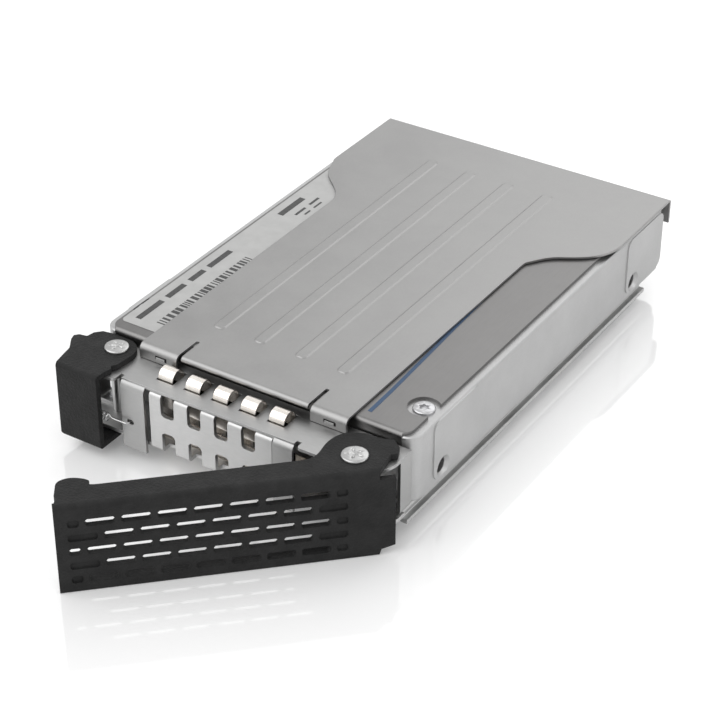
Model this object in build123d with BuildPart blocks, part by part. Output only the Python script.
"""Removable drive rack: a folded steel tray that carries a 2.5 inch drive.

The tray has a folded floor with side ledges and a slotted front wall, a front
bracket, a ridged cover sheet, sprung grounding fingers, a sprung latch and a
perforated swing handle. The handle is modelled open, as it is at rest.

Frame, in millimetres: the origin is on the underside of the raised tray floor,
below the centre of the drive. +X points right, +Y points back, the way the rack
slides in, and +Z points up.
"""
import os
from math import cos, pi, radians, sin

from build123d import *

# Drive, to the 2.5 inch form factor
drive_width = 69.85
drive_length = 100.45
drive_height = 14.9
drive_corner = 3.0
lid_t = 0.65
pad_raise = 0.2
pad_lead = 3.3
pad_length = 16.0
side_hole_z = 3.0
side_hole_depth = 5.0
side_hole_sink = 0.7
rear_hole_inset = 14.0
front_hole_inset = 9.85
bottom_hole_inset = 4.065
thread_r = 1.5
drive_half = drive_width / 2
drive_front = -drive_length / 2
drive_rear = drive_length / 2
case_height = drive_height - lid_t

# Sheet thicknesses and general clearances
floor_t = 0.8
bracket_t = 0.6
cover_t = 0.5
finger_t = 0.2
contact_gap = 0.1
running_gap = 0.05
fixed_gap = 0.02

# Tray floor and ledges
ledge_drop = 1.6
ledge_outer = drive_half - 0.125
wall_outer = drive_half - 1.325
rail_front = drive_front - 2.375
rail_rear = drive_rear - 7.925
floor_front = drive_front - 9.775
front_corner = 6.0
bend_r = 0.6

# Slotted front wall of the tray
grille_left = -16.2
grille_right = 11.2
grille_face = floor_front - 0.6
grille_slot_width = 3.0
grille_slot_pitch = 6.05
grille_slot_first = -12.1
grille_slot_count = 4
upper_slot_bottom = 8.1
lower_slot_top = 4.6

# Front bracket
bracket_top = 13.3
bracket_half = drive_half - 0.625
bracket_rear = drive_front - 0.375
bracket_front = floor_front - 0.2
bracket_wall_length = 3.6
foot_length = 4.3
tab_face = floor_front - 0.9
tab_bottom = -1.6
left_tab = (grille_left - 6.5, grille_left - 1.1)
right_tab = (grille_right + 0.3, grille_right + 4.6)
tab_bend_r = 1.5
spring_hole_x = left_tab[0] + 2.0
spring_hole_z = 4.4
rivet_r = 0.7
rivet_inset = 3.0
rivet_y = rail_front + 0.4

# Grounding fingers
finger_width = 3.2
finger_pitch = 6.2
finger_first = -15.1
finger_count = 5
strip_length = 37.0
finger_arch_r = 1.8
finger_arch_y = drive_front - 4.775
finger_slot_width = 3.8
finger_slot_front = finger_arch_y - finger_arch_r - 0.4
finger_slot_back = finger_arch_y + finger_arch_r + 0.5

# Cover sheet
cover_right = drive_half + 0.175
cover_left = -drive_half + 1.225
cover_neck_right = cover_right - 13.1
cover_neck_left = cover_left + 9.7
cover_rear = drive_rear + 1.375
swoop_rear = cover_rear - 22.8
cover_tab_face = drive_front - 2.675
cover_lip_face = cover_tab_face + 0.4
cover_tab_bottom = bracket_top + 0.1
rear_flange_drop = 5.5
slit_width = 0.8
slit_left = cover_neck_left + 8.9
slit_right = cover_neck_right - 8.1
slit_end = cover_lip_face + 6.2
ridge_x = (-14.9, -5.6, 3.7, 13.0)
ridge_front = cover_lip_face + 11.8
ridge_rear = cover_rear - 12.8
ridge_width = 2.6
ridge_height = 0.18
ridge_flank = 58
hook_x = (slit_left - 4.0, slit_right + 4.6)
hook_width = 2.0

# Latch
latch_x = -bracket_half + 5.9
latch_y = bracket_rear - 3.6
latch_t = 1.15
latch_face = latch_y - 10.2
latch_left = latch_x - 6.5
latch_right = latch_x + 3.0
latch_bottom = -1.8
latch_pin_r = 1.5
latch_head_r = 2.35

# Handle, measured from its pivot: along the grip and behind the grip's face
handle_x = bracket_half - 6.5
handle_y = floor_front + 1.0
handle_open = 43.9
handle_t = 1.2
handle_face = 4.9
handle_top = bracket_top + 0.1 + handle_t
handle_bottom = -4.1
handle_left = latch_right - handle_x + 0.4
handle_right = 3.5
handle_toe = 6.4
handle_pin_r = 1.8
handle_head_r = 2.5
vent_length = 5.1
vent_height = 1.5
vent_pitch = 6.2
vent_first = handle_left + 7.8
vent_row_pitch = 3.0
vent_row_count = 5
blind_depth = 0.35

# Heights that follow from the values above
drive_z = floor_t
case_top = drive_z + case_height
drive_top = drive_z + drive_height
cover_z = drive_top + contact_gap
cover_top = cover_z + cover_t
bracket_under = bracket_top - bracket_t
case_half = drive_half - pad_raise
front_hole_y = drive_front + front_hole_inset
rear_hole_y = drive_rear - rear_hole_inset
ledge_bottom = -ledge_drop
latch_top = bracket_top + running_gap + latch_t
hook_z = cover_z - 1.3
rear_flange_bottom = cover_top - rear_flange_drop
vent_rows = [handle_bottom + 2.7 + i * vent_row_pitch for i in range(vent_row_count)]
finger_xs = [finger_first + i * finger_pitch for i in range(finger_count)]
grille_xs = [grille_slot_first + i * grille_slot_pitch for i in range(grille_slot_count)]
drive_hole_points = [
    (x, y)
    for x in (bottom_hole_inset - drive_half, drive_half - bottom_hole_inset)
    for y in (front_hole_y, rear_hole_y)
]

os.makedirs("parts", exist_ok=True)


def save(part, label):
    """Label one finished piece and write it to its own file."""
    part.label = label
    export_step(part, f"parts/{label}.step")


def across(y):
    """Plane facing forwards at the given y, with X to the right and Z up."""
    return Plane.XZ.offset(-y)


def folded(points, thickness, radius, x_from, x_to):
    """Sheet folded along X: its centre line is a list of (y, z) points."""
    with BuildSketch(Plane.YZ.offset(x_from)) as profile:
        with BuildLine():
            if radius > 0:
                FilletPolyline(*points, radius=radius)
            else:
                Polyline(*points)
        trace(line_width=thickness)
    extrude(profile.sketch, amount=x_to - x_from)


def pin_shape(x, y, radius, low, high, head_radius, head_height):
    """Round pivot pin with a low domed head that is staked in three places."""
    with BuildSketch(Plane.XY.offset(low)) as shaft:
        with Locations((x, y)):
            Circle(radius)
    extrude(shaft.sketch, amount=high - low)
    with BuildSketch(Plane.XY.offset(high)) as head:
        with Locations((x, y)):
            Circle(head_radius)
    extrude(head.sketch, amount=head_height)
    chamfer(faces().sort_by(Axis.Z)[-1].edges(), length=head_height / 2)
    with BuildSketch(Plane.XY.offset(high + head_height)) as stakes:
        with Locations((x, y)):
            with PolarLocations(head_radius * 0.42, 3, start_angle=20):
                Rectangle(head_radius * 0.5, head_radius * 0.22)
    extrude(stakes.sketch, amount=-head_height / 3, mode=Mode.SUBTRACT)


# Tray: hat-shaped floor with two side ledges, front apron and slotted front wall
with BuildPart() as base_tray:
    half_t = floor_t / 2
    with BuildSketch(across(rail_rear)):
        with BuildLine():
            FilletPolyline(
                (-ledge_outer, ledge_bottom + half_t),
                (-wall_outer + half_t, ledge_bottom + half_t),
                (-wall_outer + half_t, half_t),
                (wall_outer - half_t, half_t),
                (wall_outer - half_t, ledge_bottom + half_t),
                (ledge_outer, ledge_bottom + half_t),
                radius=bend_r,
            )
        trace(line_width=floor_t)
    extrude(amount=rail_rear - rail_front)
    with BuildSketch() as apron:
        with BuildLine():
            Polyline(
                (-wall_outer + bend_r, rail_front),
                (-bracket_half, rail_front),
                (-bracket_half, floor_front),
                (bracket_half, floor_front),
                (bracket_half, rail_front),
                (wall_outer - bend_r, rail_front),
                (wall_outer - bend_r, rail_front + 2.0),
                (-wall_outer + bend_r, rail_front + 2.0),
                close=True,
            )
        make_face()
        fillet(apron.vertices().group_by(Axis.Y)[0], front_corner)
    extrude(amount=floor_t)
    folded(
        [
            (floor_front + 2.0, half_t),
            (grille_face + half_t, half_t),
            (grille_face + half_t, bracket_under - half_t),
            (grille_face + 1.9, bracket_under - half_t),
        ],
        floor_t,
        bend_r,
        grille_left,
        grille_right,
    )
    # Upper and lower rows of slots run out through the two bends of the front wall
    with BuildSketch(across(grille_face + 2.2)) as wall_slots:
        for slot_x in grille_xs:
            with Locations((slot_x, upper_slot_bottom)):
                Rectangle(grille_slot_width, bracket_top, align=(Align.CENTER, Align.MIN))
            with Locations((slot_x, lower_slot_top)):
                Rectangle(grille_slot_width, bracket_top, align=(Align.CENTER, Align.MAX))
        ends = wall_slots.vertices().filter_by_position(
            Axis.Y, lower_slot_top - 0.1, upper_slot_bottom + 0.1
        )
        fillet(ends, grille_slot_width * 0.3)
    extrude(amount=3.0, mode=Mode.SUBTRACT)
    with BuildSketch():
        for finger_x in finger_xs:
            with Locations((finger_x, (finger_slot_front + finger_slot_back) / 2)):
                Rectangle(finger_slot_width, finger_slot_back - finger_slot_front)
        with Locations((latch_x, latch_y)):
            Circle(latch_pin_r + fixed_gap)
        with Locations((handle_x, handle_y)):
            Circle(handle_pin_r + fixed_gap)
    extrude(amount=floor_t, mode=Mode.SUBTRACT)
    with Locations(Plane((0, 0, 0), x_dir=(1, 0, 0), z_dir=(0, 0, -1))):
        with Locations(*[(x, -y) for x, y in drive_hole_points]):
            CounterSinkHole(thread_r + contact_gap, 2.45)
    rivet_points = [(side * (bracket_half - rivet_inset), rivet_y) for side in (-1, 1)]
    with BuildSketch():
        with Locations(*rivet_points):
            Circle(rivet_r + fixed_gap)
    extrude(amount=floor_t, mode=Mode.SUBTRACT)
save(base_tray.part, "base_tray")

# Front bracket: flange with finger slots, two front tabs, side walls with feet
with BuildPart() as front_bracket:
    half_t = bracket_t / 2
    left_lobe = (left_tab[0] - 0.8, floor_front - 1.5)
    right_lobe = (right_tab[1] + 1.0, tab_face)
    with BuildSketch(Plane.XY.offset(bracket_under)) as flange:
        with BuildLine():
            Polyline(
                (-bracket_half, bracket_rear),
                (-bracket_half, left_lobe[1]),
                left_lobe,
                (left_lobe[0], bracket_front + 1.0),
                (left_tab[0], bracket_front + 1.0),
                (left_tab[0], bracket_front),
                (right_tab[1], bracket_front),
                (right_tab[1], bracket_front + 1.0),
                (right_lobe[0], bracket_front + 1.0),
                right_lobe,
                (bracket_half, right_lobe[1]),
                (bracket_half, bracket_rear),
                close=True,
            )
        make_face()
        front_left = flange.vertices().sort_by_distance((-bracket_half, left_lobe[1]))[0]
        front_right = flange.vertices().sort_by_distance((bracket_half, right_lobe[1]))[0]
        fillet([front_left, front_right], front_corner)
        fillet(flange.vertices().sort_by_distance(left_lobe)[0], 0.8)
        fillet(flange.vertices().sort_by_distance(right_lobe)[0], 0.6)
        for finger_x in finger_xs:
            with Locations((finger_x, (finger_slot_front + finger_slot_back) / 2)):
                Rectangle(
                    finger_slot_width,
                    finger_slot_back - finger_slot_front,
                    mode=Mode.SUBTRACT,
                )
        with Locations((latch_x, latch_y)):
            Circle(latch_pin_r + fixed_gap, mode=Mode.SUBTRACT)
        with Locations((handle_x, handle_y)):
            Circle(handle_pin_r + fixed_gap, mode=Mode.SUBTRACT)
    extrude(amount=bracket_t)
    for tab in (left_tab, right_tab):
        folded(
            [
                (bracket_front + 2.0, bracket_top - half_t),
                (tab_face + half_t, bracket_top - half_t),
                (tab_face + half_t, tab_bottom),
            ],
            bracket_t,
            tab_bend_r,
            tab[0],
            tab[1],
        )
    # Side walls turn down from the flange and in again as feet on the tray floor
    with BuildSketch(across(bracket_rear)):
        for side in (-1, 1):
            with BuildLine():
                FilletPolyline(
                    (side * (bracket_half - 3.0), bracket_top - half_t),
                    (side * (bracket_half - half_t), bracket_top - half_t),
                    (side * (bracket_half - half_t), floor_t + half_t),
                    (side * (bracket_half - foot_length), floor_t + half_t),
                    radius=0.9,
                )
            trace(line_width=bracket_t)
    extrude(amount=bracket_wall_length)
    # Two tongues stand up behind the cover's tabs and hook through them
    tongue_face = cover_tab_face + cover_t + contact_gap
    for x in hook_x:
        with BuildSketch(Plane.YZ.offset(x - hook_width / 2)):
            with BuildLine():
                Polyline(
                    (tongue_face, bracket_under),
                    (tongue_face + bracket_t, bracket_under),
                    (tongue_face + bracket_t, hook_z + 0.25),
                    (cover_tab_face - 0.2, hook_z + 0.25),
                    (cover_tab_face - 0.2, hook_z - 0.25),
                    (tongue_face, hook_z - 0.25),
                    close=True,
                )
            make_face()
        extrude(amount=hook_width)
    with BuildSketch(across(tab_face + 1.0)):
        with Locations((spring_hole_x, spring_hole_z)):
            SlotOverall(1.6, 1.0)
    extrude(amount=2.0, mode=Mode.SUBTRACT)
    with BuildSketch(Plane.XY.offset(floor_t)):
        with Locations(*rivet_points):
            Circle(rivet_r + fixed_gap)
    extrude(amount=bracket_t, mode=Mode.SUBTRACT)
save(front_bracket.part, "front_bracket")

# Cover: ridged sheet, wide over the rear and necked in towards the front
with BuildPart() as top_cover:
    half_t = cover_t / 2
    with BuildSketch(Plane.XY.offset(cover_z)) as cover_plan:
        with BuildLine():
            Line((cover_left, cover_rear - 0.8), (cover_right, cover_rear - 0.8))
            Line((cover_right, cover_rear - 0.8), (cover_right, swoop_rear))
            Spline(
                (cover_right, swoop_rear),
                (cover_right - 0.4, swoop_rear - 2.8),
                (cover_right - 2.7, swoop_rear - 6.9),
                (cover_right - 6.5, swoop_rear - 9.9),
                (cover_neck_right + 2.7, swoop_rear - 12.8),
                (cover_neck_right + 0.6, swoop_rear - 15.8),
                (cover_neck_right, swoop_rear - 19.3),
                tangents=((0, -1), (0, -1)),
            )
            Line((cover_neck_right, swoop_rear - 19.3), (cover_neck_right, cover_lip_face + 1.4))
            Line((cover_neck_right, cover_lip_face + 1.4), (cover_neck_left, cover_lip_face + 1.4))
            Line((cover_neck_left, cover_lip_face + 1.4), (cover_neck_left, swoop_rear - 17.8))
            Spline(
                (cover_neck_left, swoop_rear - 17.8),
                (cover_neck_left - 0.5, swoop_rear - 14.4),
                (cover_neck_left - 2.4, swoop_rear - 11.6),
                (cover_left + 4.5, swoop_rear - 9.0),
                (cover_left + 1.9, swoop_rear - 5.8),
                (cover_left + 0.4, swoop_rear - 1.6),
                (cover_left, swoop_rear + 2.0),
                tangents=((0, 1), (0, 1)),
            )
            Line((cover_left, swoop_rear + 2.0), (cover_left, cover_rear - 0.8))
        make_face()
    extrude(amount=cover_t)
    folded(
        [
            (cover_rear - 2.0, cover_z + half_t),
            (cover_rear - half_t, cover_z + half_t),
            (cover_rear - half_t, rear_flange_bottom),
        ],
        cover_t,
        0.6,
        cover_left,
        cover_right,
    )
    for tab in ((cover_neck_left, slit_left), (slit_right, cover_neck_right)):
        folded(
            [
                (cover_lip_face + 2.4, cover_z + half_t),
                (cover_tab_face + half_t, cover_z + half_t),
                (cover_tab_face + half_t, cover_tab_bottom),
            ],
            cover_t,
            1.1,
            tab[0],
            tab[1],
        )
    folded(
        [
            (cover_lip_face + 2.4, cover_z + half_t),
            (cover_lip_face + half_t, cover_z + half_t),
            (cover_lip_face + half_t, cover_z - 0.4),
        ],
        cover_t,
        0.6,
        slit_left,
        slit_right,
    )
    # Two slits part the middle lip from the tabs beside it
    slit_start = cover_tab_face - 3.0
    with BuildSketch(Plane.XY.offset(cover_z - 3.0)):
        for x in (slit_left, slit_right):
            with Locations((x, (slit_end + slit_start) / 2)):
                SlotOverall(slit_end - slit_start, slit_width, rotation=90)
    extrude(amount=6.0, mode=Mode.SUBTRACT)
    with BuildSketch(across(cover_tab_face + 1.0)):
        with Locations(*[(x, hook_z) for x in hook_x]):
            RectangleRounded(hook_width + 0.6, 0.9, 0.2)
    extrude(amount=2.0, mode=Mode.SUBTRACT)
    # Four pressed ridges: raised above the sheet and hollow below it
    ridge_plan = [(x, (ridge_front + ridge_rear) / 2) for x in ridge_x]
    with BuildSketch(Plane.XY.offset(cover_top)):
        with Locations(*ridge_plan):
            RectangleRounded(ridge_width, ridge_rear - ridge_front, 1.0)
    extrude(amount=ridge_height, taper=ridge_flank)
    with BuildSketch(Plane.XY.offset(cover_z)):
        with Locations(*ridge_plan):
            Rectangle(ridge_width - 1.0, ridge_rear - ridge_front - 1.0)
    extrude(amount=ridge_height, mode=Mode.SUBTRACT)
save(top_cover.part, "top_cover")


def ground_fingers(outer, inner, rise, leg_end, band):
    """Strip of five arched fingers that come out through a slotted sheet.

    outer and inner are the sheet's two faces, rise is +1 for up and -1 for down,
    leg_end is where the free legs curl, and band holds the strip's two edges.
    """
    back = finger_arch_y + finger_arch_r
    front = finger_arch_y - finger_arch_r
    arch = [
        (
            finger_arch_y + finger_arch_r * cos(radians(angle)),
            outer + rise * finger_arch_r * sin(radians(angle)),
        )
        for angle in range(0, 181, 20)
    ]
    with BuildPart() as strip:
        for finger_x in finger_xs:
            folded(
                [
                    (back, band[0]),
                    *arch,
                    (front - 0.1, leg_end + rise * 0.4),
                    (front + 0.2, leg_end),
                    (front + 0.7, leg_end + rise * 0.1),
                    (front + 0.9, leg_end + rise * 0.9),
                ],
                finger_t,
                0,
                finger_x - finger_width / 2,
                finger_x + finger_width / 2,
            )
        with BuildSketch(across(back + finger_t / 2)):
            with Locations(((finger_xs[0] + finger_xs[-1]) / 2, (band[0] + band[1]) / 2)):
                Rectangle(strip_length, abs(band[1] - band[0]))
        extrude(amount=finger_t)
        seat = inner - rise * finger_t / 2
        for x_from in (finger_xs[0] - 5.4, finger_xs[-1] + 2.6):
            folded(
                [(back, band[0]), (back, seat), (back + 1.6, seat)],
                finger_t,
                0,
                x_from,
                x_from + 2.8,
            )
    return strip.part


# Upper strip rises through the bracket's flange, lower strip drops through the floor
save(ground_fingers(bracket_top, bracket_under, 1, 7.2, (8.4, 11.3)), "ground_fingers_top")
save(ground_fingers(0.0, floor_t, -1, 5.4, (4.9, 2.0)), "ground_fingers_bottom")

# Side spring: bowed leaf on the left wall of the bracket
side_spring_bottom = 9.6
side_spring_width = 2.9
side_spring_t = 0.24
side_spring_bow = [
    (side_spring_t / 2, 0.4),
    (0.9, 0.3),
    (2.6, 1.2),
    (2.3, 2.4),
    (0.9, 3.5),
    (side_spring_t / 2, 3.55),
]
with BuildPart() as side_spring:
    with BuildSketch(Plane.XY.offset(side_spring_bottom)):
        with BuildLine():
            FilletPolyline(
                *[(-bracket_half - dx, bracket_rear - dy) for dx, dy in side_spring_bow],
                radius=0.4,
            )
        trace(line_width=side_spring_t)
    extrude(amount=side_spring_width)
save(side_spring.part, "side_spring")

# Latch: channel that is open to its right, with a top plate, face and lower plate.
# The thumb lobe on the left and the tooth on the right are measured from its pin.
latch_thumb = [
    (-7.2, -6.6),
    (-7.5, -4.8),
    (-9.2, -2.2),
    (-9.6, -0.9),
    (-8.9, -0.1),
    (-7.3, 0.2),
    (-7.0, 1.9),
    (-5.8, 3.2),
    (-3.6, 3.6),
    (0, 3.6),
]
latch_tooth = [(3.9, -1.0), (3.6, -4.4), (2.9, -5.4), (3.5, -6.3), (3.1, -7.8)]
peg_x = latch_x - 4.2
with BuildPart() as latch_body:
    with BuildSketch(Plane.XY.offset(latch_top - latch_t)) as latch_plan:
        with BuildLine():
            thumb_edge = Polyline(
                (latch_left, latch_face),
                *[(latch_x + dx, latch_y + dy) for dx, dy in latch_thumb],
            )
            tooth_edge = Polyline(
                *[(latch_x + dx, latch_y + dy) for dx, dy in latch_tooth],
                (latch_right, latch_face),
                (latch_left, latch_face),
            )
            ThreePointArc(thumb_edge @ 1, (latch_x + 3.1, latch_y + 2.1), tooth_edge @ 0)
        make_face()
        thumb_corners = latch_plan.vertices().filter_by_position(
            Axis.X, latch_x - 9.5, latch_x - 5.6
        )
        fillet(thumb_corners, 0.45)
    extrude(amount=latch_t)
    with BuildSketch(across(latch_face)) as latch_front:
        with BuildLine():
            Polyline(
                (latch_left, latch_top),
                (latch_left, latch_bottom + 0.7),
                (latch_left + 0.7, latch_bottom),
                (latch_right, latch_bottom),
                (latch_right, latch_top),
                close=True,
            )
        make_face()
    extrude(amount=-latch_t)
    with BuildSketch(Plane.XY.offset(latch_bottom)) as latch_foot:
        with BuildLine():
            Polyline(
                (latch_left + 0.7, latch_face),
                (latch_left + 0.7, latch_y - 1.5),
                (latch_x - 3.2, latch_y),
            )
            ThreePointArc(
                (latch_x - 3.2, latch_y),
                (latch_x, latch_y + 3.2),
                (latch_x + 3.2, latch_y),
            )
            Polyline(
                (latch_x + 3.2, latch_y),
                (latch_right, latch_y - 2.0),
                (latch_right, latch_face),
                (latch_left + 0.7, latch_face),
            )
        make_face()
    extrude(amount=latch_t)
    # Peg that the near end of the spring hooks round
    with BuildSketch(across(latch_face + latch_t)):
        with Locations((peg_x, spring_hole_z)):
            Circle(0.5)
    extrude(amount=-2.2)
    top_front = latch_body.edges().sort_by_distance((latch_x, latch_face, latch_top))[0]
    bottom_front = latch_body.edges().sort_by_distance((latch_x, latch_face, latch_bottom))[0]
    fillet([top_front, bottom_front], 0.7)
    with BuildSketch(Plane.XY.offset(latch_bottom)):
        with Locations((latch_x, latch_y)):
            Circle(latch_pin_r + running_gap)
    extrude(amount=latch_top - latch_bottom, mode=Mode.SUBTRACT)
save(latch_body.part, "latch_body")

with BuildPart() as latch_pin:
    foot_z = latch_bottom - running_gap - 0.55
    head_z = latch_top + running_gap
    pin_shape(latch_x, latch_y, latch_pin_r, foot_z, head_z, latch_head_r, 0.55)
    with BuildSketch(Plane.XY.offset(foot_z)):
        with Locations((latch_x, latch_y)):
            Circle(latch_pin_r + 0.7)
    extrude(amount=0.55)
save(latch_pin.part, "latch_pin")

# Spacer rings fill the gap between the tray floor and the two lower plates
latch_spacer_h = -(latch_bottom + latch_t) - running_gap
with BuildPart() as latch_spacer:
    with BuildSketch():
        with Locations((latch_x, latch_y)):
            Circle(latch_pin_r + 0.7)
            Circle(latch_pin_r + fixed_gap, mode=Mode.SUBTRACT)
    extrude(amount=-latch_spacer_h)
save(latch_spacer.part, "latch_spacer")

handle_spacer_h = -(handle_bottom + handle_t) - running_gap
with BuildPart() as handle_spacer:
    with BuildSketch():
        with Locations((handle_x, handle_y)):
            Circle(handle_pin_r + 1.2)
            Circle(handle_pin_r + fixed_gap, mode=Mode.SUBTRACT)
    extrude(amount=-handle_spacer_h)
save(handle_spacer.part, "handle_spacer")

# Latch spring: extension coil from the latch's peg to the hole in the left tab
coil_y = tab_face - 0.95
coil_start = peg_x + 1.2
coil_end = left_tab[0] - 2.3
coil_turns = 8
coil_steps = 8
coil_r = 0.75
wire_width = 0.26
coil_points = [
    (
        coil_start + (coil_end - coil_start) * i / (coil_turns * coil_steps),
        coil_y + coil_r * sin(2 * pi * i / coil_steps),
        spring_hole_z + coil_r * cos(2 * pi * i / coil_steps),
    )
    for i in range(coil_turns * coil_steps + 1)
]
spring_points = [
    (peg_x - 0.8, coil_y, spring_hole_z - 0.4),
    (peg_x - 0.8, coil_y, spring_hole_z + 0.5),
    (peg_x - 0.3, coil_y, spring_hole_z + coil_r),
    *coil_points,
    (coil_end + 0.7, coil_y, spring_hole_z + 0.1),
    (spring_hole_x, coil_y + 0.15, spring_hole_z),
    (spring_hole_x, tab_face + 1.1, spring_hole_z),
]
with BuildPart() as latch_spring:
    with BuildLine() as wire:
        Polyline(*spring_points)
    with BuildSketch(Plane(origin=wire.line @ 0, z_dir=wire.line % 0)):
        Rectangle(wire_width, wire_width)
    sweep(path=wire.line, transition=Transition.RIGHT)
save(latch_spring.part, "latch_spring")

# Handle: channel section grip with a pivot lobe, a catch hook and vent slots
turn = radians(handle_open)
grip_dir = Vector(cos(turn), sin(turn), 0)
back_dir = Vector(-sin(turn), cos(turn), 0)
pivot = (handle_x, handle_y, 0)
handle_plan = Plane(origin=pivot, x_dir=grip_dir, z_dir=(0, 0, 1))
handle_front = Plane(origin=pivot, x_dir=grip_dir, z_dir=-back_dir)
catch_corner = [(0.5, -3.1), (1.1, -2.7), (0.5, -1.6), (0.9, 1.0)]
catch_hook = [(0.9, 1.0), (2.1, 2.7), (4.8, 2.8), (6.8, 1.4), (9.0, 0.4)]
pivot_lobe = [(-9.6, 0.5), (-6.4, 1.7), (-4.6, 4.2), (-2.4, 6.3), (0.5, 7.1), (3.1, 6.3), (5.3, 4.5)]
with BuildPart() as handle:
    with BuildSketch(handle_plan.offset(handle_top - handle_t)):
        with BuildLine():
            catch_edge = Polyline(
                (handle_left, -handle_face),
                *[(handle_left + da, b) for da, b in catch_corner],
            )
            hook_edge = Spline(
                *[(handle_left + da, b) for da, b in catch_hook],
                tangents=((0.1, 1), (1, 0)),
            )
            lobe_edge = Spline(*pivot_lobe, tangents=((1, 0), (1, -0.9)))
            Line(hook_edge @ 1, lobe_edge @ 0)
            Polyline(
                lobe_edge @ 1,
                (7.8, 3.3),
                (8.2, 1.0),
                (7.5, -0.8),
                (6.3, -0.8),
                (handle_right, -handle_face),
                catch_edge @ 0,
            )
        make_face()
    extrude(amount=handle_t)
    with BuildSketch(handle_plan.offset(handle_bottom)):
        with BuildLine():
            Polyline(
                (-4.2, 0),
                (-6.5, 0.3),
                (handle_left + 1.0, 0.3),
                (handle_left + 1.0, -handle_face),
                (handle_right, -handle_face),
                (4.2, 0),
            )
            ThreePointArc((4.2, 0), (0, 4.2), (-4.2, 0))
        make_face()
    extrude(amount=handle_t)
    with BuildSketch(handle_front.offset(handle_face)):
        with BuildLine():
            Polyline(
                (handle_left, handle_bottom),
                (handle_right, handle_bottom),
                (handle_right + 0.4, handle_bottom + 1.3),
                (handle_toe, handle_bottom + 2.0),
                (handle_toe, handle_top - 2.2),
                (handle_right, handle_top - 2.2),
                (handle_right, handle_top),
                (handle_left, handle_top),
                close=True,
            )
        make_face()
    extrude(amount=-handle_t)
    for z, radius in ((handle_top, 0.9), (handle_bottom, 0.3)):
        edge_point = handle_plan.from_local_coords(Vector(handle_left / 2, -handle_face, z))
        fillet(handle.edges().sort_by_distance(edge_point)[0], radius)
    # Rows of vents, staggered by half a pitch; the end ones are blind recesses
    with BuildSketch(handle_front.offset(handle_face)) as vents:
        for row, z in enumerate(vent_rows):
            first, count = (vent_first, 7) if row % 2 == 0 else (vent_first + vent_pitch / 2, 6)
            with Locations(*[(first + i * vent_pitch, z) for i in range(count)]):
                Rectangle(vent_length, vent_height)
        with Locations((vent_first - 4.6, vent_rows[2])):
            Rectangle(2.0, vent_height)
        chamfer(vents.vertices(), length=0.33)
    extrude(amount=-handle_t, mode=Mode.SUBTRACT)
    last_vent = vent_first + 6 * vent_pitch + 4.7
    with BuildSketch(handle_front.offset(handle_face)) as blind_vents:
        for row, z in enumerate(vent_rows):
            if row % 2 == 0:
                ends = [last_vent] if row == 2 else [vent_first - 4.6, last_vent]
                with Locations(*[(a, z) for a in ends]):
                    Rectangle(2.0, vent_height)
            else:
                with Locations((vent_first - vent_pitch / 2, z), (last_vent - 1.6, z)):
                    Rectangle(vent_length, vent_height)
        chamfer(blind_vents.vertices(), length=0.33)
    extrude(amount=-blind_depth, mode=Mode.SUBTRACT)
    with BuildSketch(handle_plan.offset(handle_bottom)):
        Circle(handle_pin_r + running_gap)
    extrude(amount=handle_top - handle_bottom, mode=Mode.SUBTRACT)
save(handle.part, "handle")

with BuildPart() as handle_pin:
    pin_shape(
        handle_x,
        handle_y,
        handle_pin_r,
        handle_bottom + running_gap,
        handle_top + running_gap,
        handle_head_r,
        0.55,
    )
save(handle_pin.part, "handle_pin")

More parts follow.
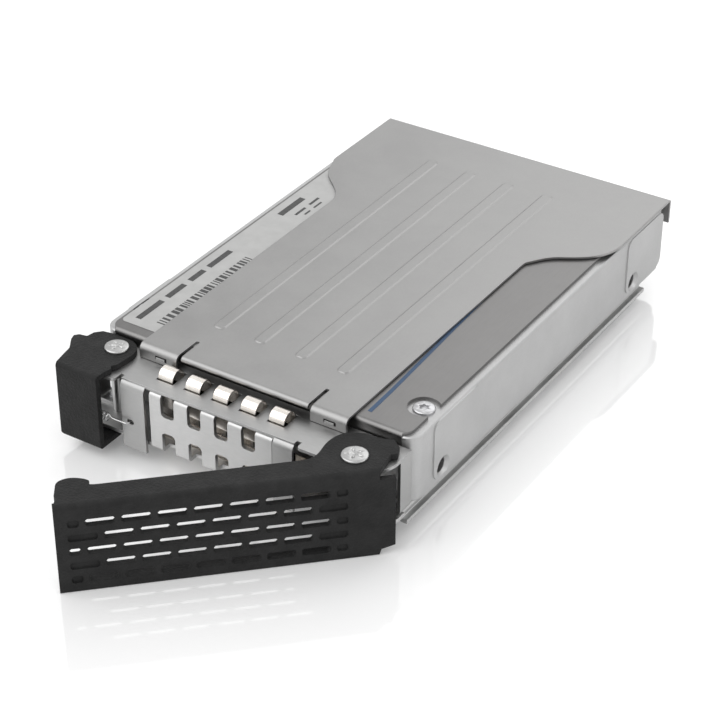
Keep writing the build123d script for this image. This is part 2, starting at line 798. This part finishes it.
# Drive case: closed aluminium shell, recessed at the front for the lid's skirt
lid_half = drive_half - 1.825
skirt_bottom = drive_top - 2.7
skirt_t = 0.6
lid_screw_inset = 2.2
lid_screw_x = lid_half - lid_screw_inset
lid_screw_ys = (drive_front + 9.325, drive_rear - 9.225)
lid_screws = [(x, y) for x in (-lid_screw_x, lid_screw_x) for y in lid_screw_ys]
pocket_left = -27.5
pocket_right = 16.5
pocket_front = drive_rear - 6.225
pocket_top = drive_z + 7.0
pad_low = drive_z + 1.1
pad_high = case_top - 0.25
pad_corner = 2.0
with BuildPart() as drive_case:
    with BuildSketch(Plane.XY.offset(drive_z)):
        RectangleRounded(2 * case_half, drive_length, drive_corner)
    extrude(amount=case_height)
    chamfer(drive_case.faces().sort_by(Axis.Z)[0].edges(), length=0.4)
    chamfer(drive_case.faces().sort_by(Axis.Z)[-1].edges(), length=0.25)
    # Raised pads at the side holes bring the case out to its full width
    for side in (-1, 1):
        pad_plane = Plane(
            origin=(side * case_half, 0, 0),
            x_dir=(0, 1, 0),
            z_dir=(side, 0, 0),
        )
        with BuildSketch(pad_plane) as pads:
            for y in (front_hole_y, rear_hole_y):
                with Locations((y + pad_length / 2 - pad_lead, side * (pad_low + pad_high) / 2)):
                    Rectangle(pad_length, pad_high - pad_low)
            low_corners = pads.vertices().group_by(Axis.Z)[0]
            fillet(low_corners, pad_corner)
        extrude(amount=pad_raise)
        side_holes = [(y, side * (drive_z + side_hole_z)) for y in (front_hole_y, rear_hole_y)]
        with BuildSketch(pad_plane.offset(pad_raise)):
            with Locations(*side_holes):
                Circle(thread_r + side_hole_sink)
        extrude(amount=-side_hole_sink, taper=45, mode=Mode.SUBTRACT)
        with BuildSketch(pad_plane.offset(pad_raise)):
            with Locations(*side_holes):
                Circle(thread_r)
        extrude(amount=-side_hole_depth, mode=Mode.SUBTRACT)
    with BuildSketch(Plane.XY.offset(drive_z)):
        with Locations(*drive_hole_points):
            Circle(thread_r)
    extrude(amount=4.0, mode=Mode.SUBTRACT)
    with BuildSketch(Plane.XY.offset(skirt_bottom)):
        with Locations((0, drive_front + skirt_t / 2)):
            Rectangle(2 * lid_half - 2.2, skirt_t)
    extrude(amount=case_top - skirt_bottom, mode=Mode.SUBTRACT)
    with BuildSketch(Plane.XY.offset(case_top)):
        with Locations(*lid_screws):
            Circle(1.05)
    extrude(amount=-3.0, mode=Mode.SUBTRACT)
    with BuildSketch(Plane.XY.offset(drive_z)):
        with Locations(((pocket_left + pocket_right) / 2, (pocket_front + drive_rear) / 2)):
            Rectangle(pocket_right - pocket_left, drive_rear - pocket_front)
    extrude(amount=pocket_top - drive_z, mode=Mode.SUBTRACT)
save(drive_case.part, "drive_case")

# Drive lid: plate with a front skirt and four open-sided screw recesses
lid_setback = 1.3
recess_r = 3.1
recess_mouth = 3.4
with BuildPart() as drive_lid:
    with BuildSketch(Plane.XY.offset(case_top)):
        with Locations((0, -lid_setback / 2)):
            RectangleRounded(2 * lid_half, drive_length - lid_setback, 2.4)
    extrude(amount=lid_t)
    with BuildSketch(Plane.XY.offset(skirt_bottom)):
        with Locations((0, drive_front + skirt_t / 2)):
            Rectangle(2 * lid_half - 2.3, skirt_t)
    extrude(amount=drive_top - skirt_bottom)
    front_edge = drive_lid.edges().sort_by_distance((0, drive_front, drive_top))[0]
    fillet(front_edge, 0.9)
    with BuildSketch(Plane.XY.offset(case_top)):
        for x, y in lid_screws:
            side = 1 if x > 0 else -1
            with Locations((x, y)):
                Circle(recess_r)
            with Locations((x + side * lid_screw_inset, y)):
                Rectangle(2 * lid_screw_inset, recess_mouth)
    extrude(amount=lid_t, mode=Mode.SUBTRACT)
save(drive_lid.part, "drive_lid")

# Label: thin sheet on the lid, over its left screws and partly under the cover
label_t = contact_gap - 0.02
label_left = -lid_half + 0.5
label_width = 30.4
label_front_margin = 2.725
label_rear_margin = 11.725
label_front = drive_front + label_front_margin
label_rear = drive_rear - label_rear_margin
with BuildPart() as drive_label:
    with BuildSketch(Plane.XY.offset(drive_top)):
        with Locations((label_left + label_width / 2, (label_front + label_rear) / 2)):
            RectangleRounded(label_width, label_rear - label_front, 1.0)
    extrude(amount=label_t)
save(drive_label.part, "drive_label")


def screw_row(points, z, down, head_r, head_h, shank_r, shank_l, flat):
    """Group of equal screws; down is -1 for a head on top and +1 for one below."""
    with BuildPart() as screws:
        with BuildSketch(Plane.XY.offset(z)):
            with Locations(*points):
                RegularPolygon(shank_r, 8)
        extrude(amount=down * shank_l)
        with BuildSketch(Plane.XY.offset(z - down * head_h)):
            with Locations(*points):
                RegularPolygon(head_r, 16)
        if flat:
            extrude(amount=down * head_h, taper=45)
        else:
            extrude(amount=down * head_h)
        with BuildSketch(Plane.XY.offset(z - down * head_h)):
            with Locations(*points):
                RegularPolygon(head_r * 0.42, 6)
        extrude(amount=down * 0.4, mode=Mode.SUBTRACT)
    return screws.part


save(screw_row(lid_screws, case_top, -1, 2.1, lid_t - 0.05, 1.0, 2.6, False), "drive_lid_screws")
# The screws from below end short of the side holes, which stay free
mounting_grip = side_hole_z - thread_r - contact_gap
save(
    screw_row(
        drive_hole_points,
        drive_z,
        1,
        2.3,
        floor_t - fixed_gap,
        thread_r - running_gap,
        mounting_grip,
        True,
    ),
    "drive_mounting_screws",
)

# Connector block, its contacts and the edge of the board behind them
tongue_front = pocket_front + 2.0
connector_height = 4.9
connector_top = drive_z + connector_height
with BuildPart() as drive_connector:
    with BuildSketch(Plane.XY.offset(drive_z + 0.4)):
        with Locations(((pocket_left + pocket_right) / 2, pocket_front + 1.1)):
            Rectangle(pocket_right - pocket_left - 0.6, 2.0)
    extrude(amount=connector_top - drive_z - 0.4)
    with BuildSketch(Plane.XY.offset(drive_z + 2.2)):
        with Locations(((pocket_left + pocket_right) / 2 + 1.0, tongue_front + 1.9)):
            Rectangle(36.0, 4.0)
    extrude(amount=1.3)
    with BuildSketch(Plane.XY.offset(drive_z + 0.4)):
        for x in (pocket_left + 1.5, pocket_right - 1.5):
            with Locations((x, tongue_front + 1.6)):
                Rectangle(2.2, 3.4)
    extrude(amount=connector_top - drive_z - 0.4)
    # Key slot between the two groups of contacts
    with BuildSketch(Plane.XY.offset(drive_z + 2.2)):
        with Locations((pocket_left + 14.3, tongue_front + 2.4)):
            Rectangle(1.4, 3.2)
    extrude(amount=1.3, mode=Mode.SUBTRACT)
save(drive_connector.part, "drive_connector")

contact_pitch = 1.27
contact_xs = [pocket_left + 6.2 + i * contact_pitch for i in range(6)]
contact_xs += [pocket_left + 16.3 + i * contact_pitch for i in range(18)]
with BuildPart() as connector_contacts:
    with BuildSketch(Plane.XY.offset(drive_z + 3.5)):
        with Locations(*[(x, tongue_front + 1.8) for x in contact_xs]):
            Rectangle(0.7, 3.2)
    extrude(amount=0.08)
save(connector_contacts.part, "connector_contacts")

with BuildPart() as drive_board:
    with BuildSketch(Plane.XY.offset(connector_top)):
        with Locations(((pocket_left + pocket_right) / 2, pocket_front + 2.4)):
            Rectangle(pocket_right - pocket_left - 0.4, 4.6)
    extrude(amount=1.0)
save(drive_board.part, "drive_board")

# Rivets through the bracket's feet and the tray floor
with BuildPart() as bracket_rivets:
    with BuildSketch():
        with Locations(*rivet_points):
            Circle(rivet_r)
    extrude(amount=floor_t + bracket_t)
    with BuildSketch(Plane.XY.offset(floor_t + bracket_t)):
        with Locations(*rivet_points):
            RegularPolygon(rivet_r + 0.5, 12)
    extrude(amount=0.4)
    with BuildSketch():
        with Locations(*rivet_points):
            RegularPolygon(rivet_r + 0.35, 12)
    extrude(amount=-0.35)
save(bracket_rivets.part, "bracket_rivets")
